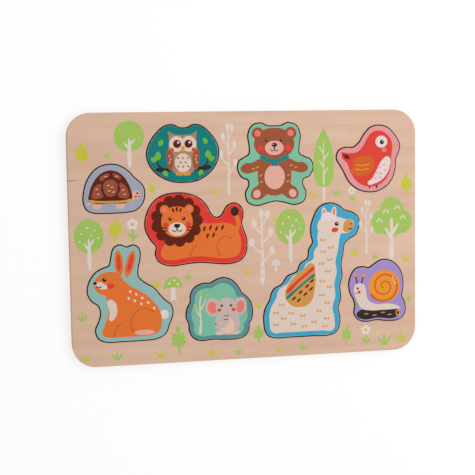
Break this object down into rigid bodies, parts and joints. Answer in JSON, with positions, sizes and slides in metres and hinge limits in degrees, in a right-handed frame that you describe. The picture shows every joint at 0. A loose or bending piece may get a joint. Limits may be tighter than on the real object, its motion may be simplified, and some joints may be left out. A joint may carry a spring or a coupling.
{
  "type": "inset puzzle",
  "caption": "Flat wooden inset puzzle: a round-cornered plywood board with contour-cut pockets and printed animal pieces that stand a little proud and lift straight out.",
  "frame": {"origin": "middle of the board's back face, on the surface that the board lies on", "axes": "+X along the long side, to the right of the picture; +Y towards the picture's top edge; +Z out of the printed face"},
  "size_m": [0.3, 0.21, 0.009],
  "materials": {
    "plate_wood": "pale fine-grained plywood face, clear satin varnish, printed with trees and leaves; laser-browned walls in the cut-outs",
    "panel_wood": "pale plywood, clear satin varnish",
    "teal_print": "plywood printed teal with an animal, satin varnish, laser-browned sides",
    "mint_print": "plywood printed mint with an animal, satin varnish, laser-browned sides",
    "pink_print": "plywood printed pink with an animal, satin varnish, laser-browned sides",
    "lavender_print": "plywood printed lavender grey with an animal, satin varnish, laser-browned sides",
    "red_print": "plywood printed red with an animal, satin varnish, laser-browned sides",
    "aqua_print": "plywood printed aqua with an animal, satin varnish, laser-browned sides",
    "dark_teal_print": "plywood printed dark teal with an animal, satin varnish, laser-browned sides",
    "blue_print": "plywood printed blue with an animal, satin varnish, laser-browned sides",
    "purple_print": "plywood printed purple with an animal, satin varnish, laser-browned sides"
  },
  "bodies": {
    "board": {"cut_plate": "plate_wood", "back_panel": "panel_wood"},
    "owl": {"owl_piece": "teal_print"},
    "bear": {"bear_piece": "mint_print"},
    "robin": {"robin_piece": "pink_print"},
    "tortoise": {"tortoise_piece": "lavender_print"},
    "lion": {"lion_piece": "red_print"},
    "hare": {"hare_piece": "aqua_print"},
    "elephant": {"elephant_piece": "dark_teal_print"},
    "llama": {"llama_piece": "blue_print"},
    "snail": {"snail_piece": "purple_print"}
  },
  "joints": [
    {"name": "owl_lift", "type": "slide", "parent": "board", "child": "owl", "axis": [0, 0, 1], "range_m": [0, 0.03]},
    {"name": "bear_lift", "type": "slide", "parent": "board", "child": "bear", "axis": [0, 0, 1], "range_m": [0, 0.03]},
    {"name": "robin_lift", "type": "slide", "parent": "board", "child": "robin", "axis": [0, 0, 1], "range_m": [0, 0.03]},
    {"name": "tortoise_lift", "type": "slide", "parent": "board", "child": "tortoise", "axis": [0, 0, 1], "range_m": [0, 0.03]},
    {"name": "lion_lift", "type": "slide", "parent": "board", "child": "lion", "axis": [0, 0, 1], "range_m": [0, 0.03]},
    {"name": "hare_lift", "type": "slide", "parent": "board", "child": "hare", "axis": [0, 0, 1], "range_m": [0, 0.03]},
    {"name": "elephant_lift", "type": "slide", "parent": "board", "child": "elephant", "axis": [0, 0, 1], "range_m": [0, 0.03]},
    {"name": "llama_lift", "type": "slide", "parent": "board", "child": "llama", "axis": [0, 0, 1], "range_m": [0, 0.03]},
    {"name": "snail_lift", "type": "slide", "parent": "board", "child": "snail", "axis": [0, 0, 1], "range_m": [0, 0.03]}
  ]
}
